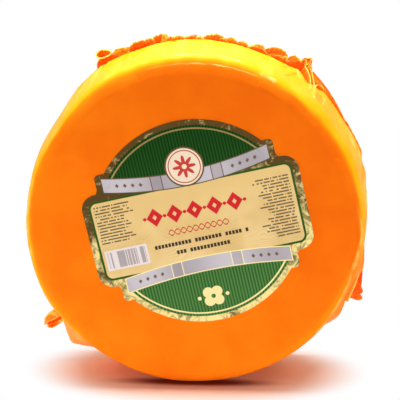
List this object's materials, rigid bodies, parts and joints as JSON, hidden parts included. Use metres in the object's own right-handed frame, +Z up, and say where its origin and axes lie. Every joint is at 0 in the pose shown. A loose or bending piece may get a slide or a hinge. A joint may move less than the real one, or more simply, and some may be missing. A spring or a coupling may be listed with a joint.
{
  "type": "wheel of brined cheese in tight film",
  "caption": "Round wheel of brined cheese standing on its rim, wrapped in tight glossy film with a gathered seam and crumpled corners, with a die-cut foil label on its front.",
  "frame": {"origin": "on the small flat spot of the rim that the wheel rests on, in the plane of the film's seam", "axes": "+Z up, Y along the wheel's axis, the labelled face towards -Y"},
  "size_m": [0.2376, 0.0712, 0.2376],
  "materials": {
    "wrapped_cheese": "tight glossy film over an orange-yellow wheel",
    "film": "gathered glossy film, deeper in colour where it is folded",
    "label_foil": "printed gold foil paper, green fields and a cream panel"
  },
  "bodies": {
    "root": {"cheese_wheel": "wrapped_cheese", "film_seam": "film", "label": "label_foil"}
  },
  "joints": []
}
